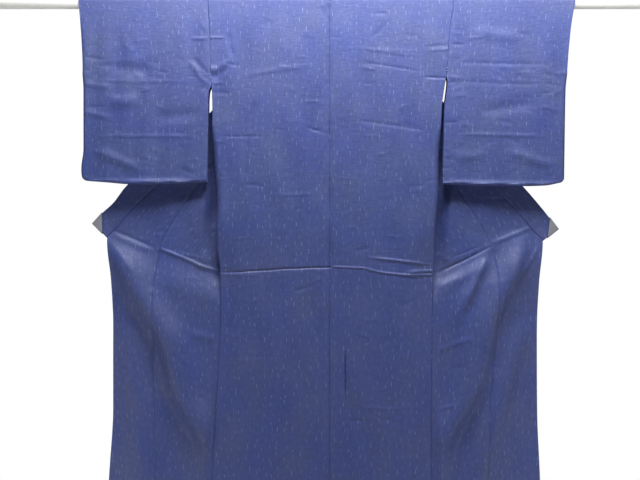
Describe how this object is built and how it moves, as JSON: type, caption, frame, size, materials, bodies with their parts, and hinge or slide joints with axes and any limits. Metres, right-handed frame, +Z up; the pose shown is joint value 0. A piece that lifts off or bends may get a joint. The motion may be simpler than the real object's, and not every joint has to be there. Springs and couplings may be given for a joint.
{
  "type": "kimono on a display rod",
  "caption": "Full-length kimono draped over a straight rod, seen from the back, with both fronts swung out to the sides and their collar ends held in corner clips.",
  "frame": {"origin": "on the rod's axis, half way along the rod", "axes": "+X along the rod towards the wearer's right side, +Y from the garment's back to its fronts, +Z up"},
  "size_m": [1.84, 0.0651, 1.6079],
  "materials": {
    "silk": "soft satin, slight slub",
    "rod_paint": "painted, satin",
    "clip_plastic": "frosted"
  },
  "bodies": {
    "root": {"back_left": "silk", "back_right": "silk", "clip_left": "clip_plastic", "clip_right": "clip_plastic", "collar_left": "silk", "collar_neck": "silk", "collar_right": "silk", "front_left": "silk", "front_right": "silk", "okumi_left": "silk", "okumi_right": "silk", "rod": "rod_paint", "sleeve_left": "silk", "sleeve_right": "silk"}
  },
  "joints": []
}
